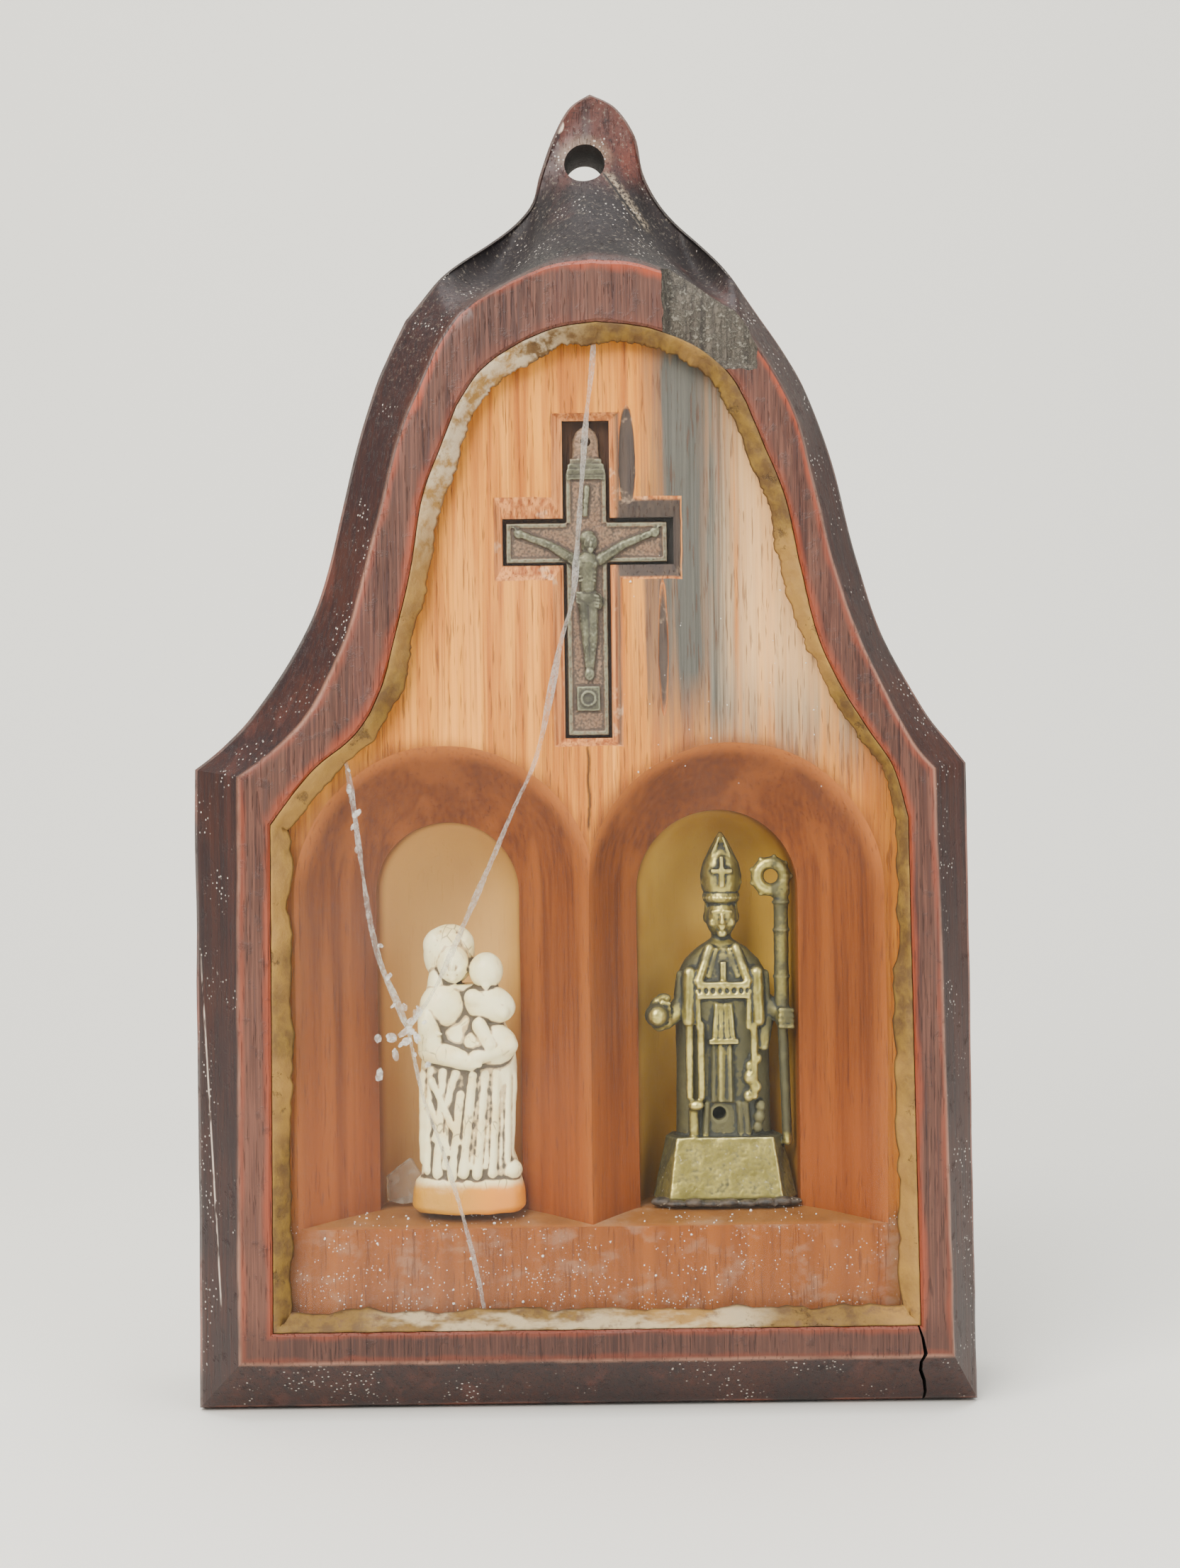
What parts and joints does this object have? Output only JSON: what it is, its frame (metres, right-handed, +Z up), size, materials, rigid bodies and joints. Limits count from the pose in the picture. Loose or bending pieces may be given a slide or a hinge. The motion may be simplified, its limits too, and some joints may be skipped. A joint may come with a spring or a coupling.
{
  "type": "wooden reliquary",
  "caption": "Bell-shaped carved wooden reliquary with hanging lug, cracked glass in putty, cross recess with crucifix and arched niches holding small figures.",
  "frame": {"origin": "on the underside, under the middle of the block's bounding box", "axes": "+Z up, +X to the viewer's right, the glazed front faces -Y and the flat back +Y"},
  "size_m": [0.1142, 0.034, 0.1964],
  "materials": {
    "wood": "dark red-brown, worn and grimy outside, orange-tan panel and amber niches inside",
    "putty": "crumbly golden-brown with cream patches",
    "glass": "clear, cracked, dusty",
    "bronze": "dull grey-green",
    "bone": "cream with dark crackle and a yellow-orange waxy base",
    "brass": "antique, bright on high points and near black in the recesses",
    "glue": "dark glossy lumps"
  },
  "bodies": {
    "root": {"case": "wood", "putty": "putty", "glass_upper_left": "glass", "glass_lower_left": "glass", "glass_right": "glass", "glass_fragment": "glass", "crucifix": "bronze", "madonna": "bone", "bishop": "brass", "glue_lump": "glue"}
  },
  "joints": []
}
